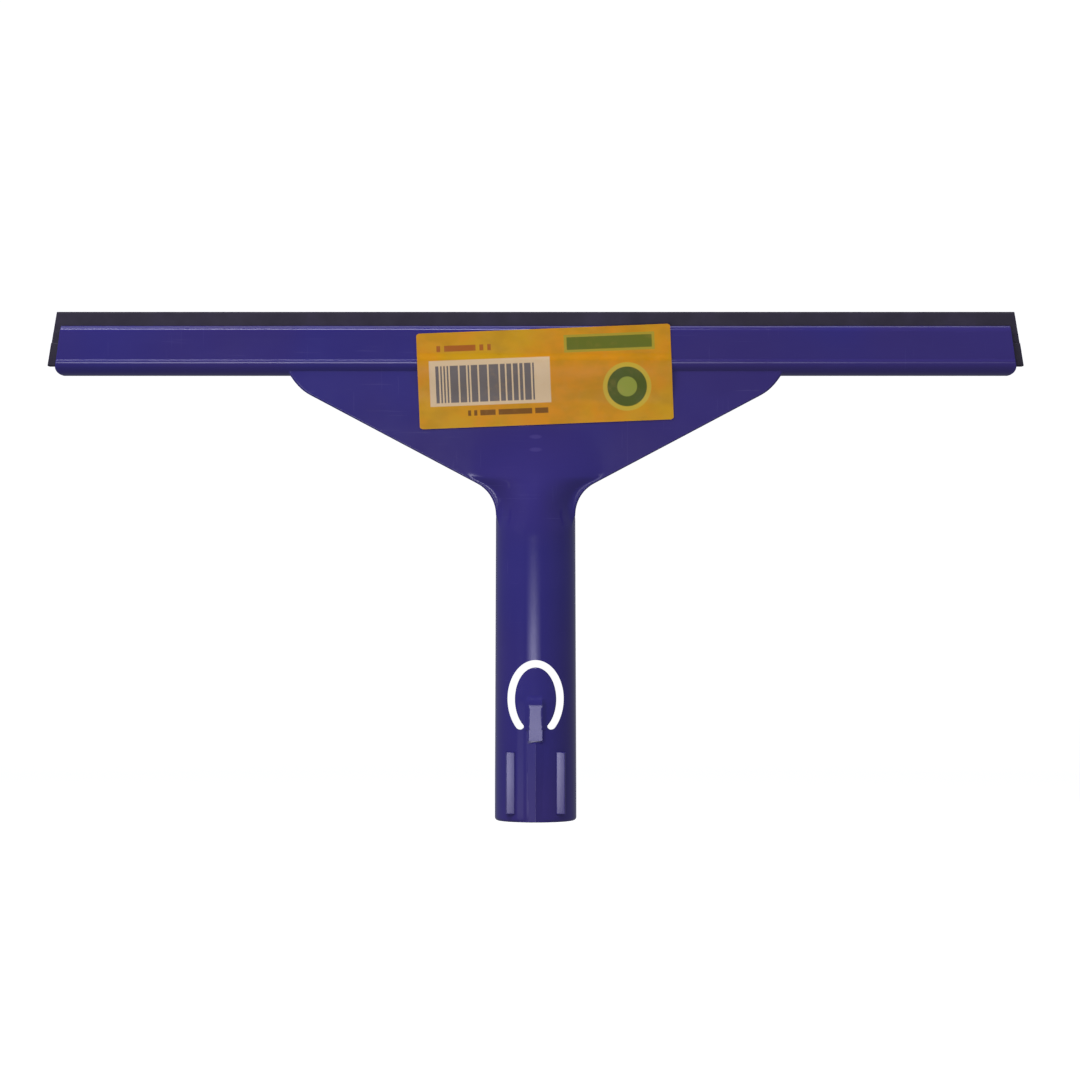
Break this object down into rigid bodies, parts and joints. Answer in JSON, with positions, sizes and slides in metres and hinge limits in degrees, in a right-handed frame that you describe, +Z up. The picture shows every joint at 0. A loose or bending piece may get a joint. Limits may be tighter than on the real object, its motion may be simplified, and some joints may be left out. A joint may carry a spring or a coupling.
{
  "type": "window squeegee",
  "caption": "Window squeegee head: rubber blade in a plastic channel, triangular web and pole socket with a press tongue.",
  "frame": {"origin": "centre of the socket's mouth, in the plane of its rim", "axes": "+Z up the socket towards the blade, +X along the blade, -Y towards the labelled front"},
  "size_m": [0.356, 0.0305, 0.1856],
  "materials": {
    "violet_plastic": "moulded plastic, satin gloss",
    "black_rubber": "matt",
    "label_paper": "printed film with a soft gloss"
  },
  "bodies": {
    "head": {"squeegee_body": "violet_plastic", "blade_root": "black_rubber", "price_label": "label_paper"},
    "tongue": {"press_tongue": "violet_plastic"},
    "lip": {"blade_lip": "black_rubber"}
  },
  "joints": [
    {"name": "tongue_press", "type": "hinge", "parent": "head", "child": "tongue", "pos_m": [0, -0.0122, 0.03375], "axis": [-1, 0, 0], "range_deg": [0, 8], "stiffness_Nm_per_rad": 0.6},
    {"name": "lip_bend", "type": "hinge", "parent": "head", "child": "lip", "pos_m": [0, 0, 0.18], "axis": [1, 0, 0], "range_deg": [-30, 30], "stiffness_Nm_per_rad": 0.5}
  ]
}
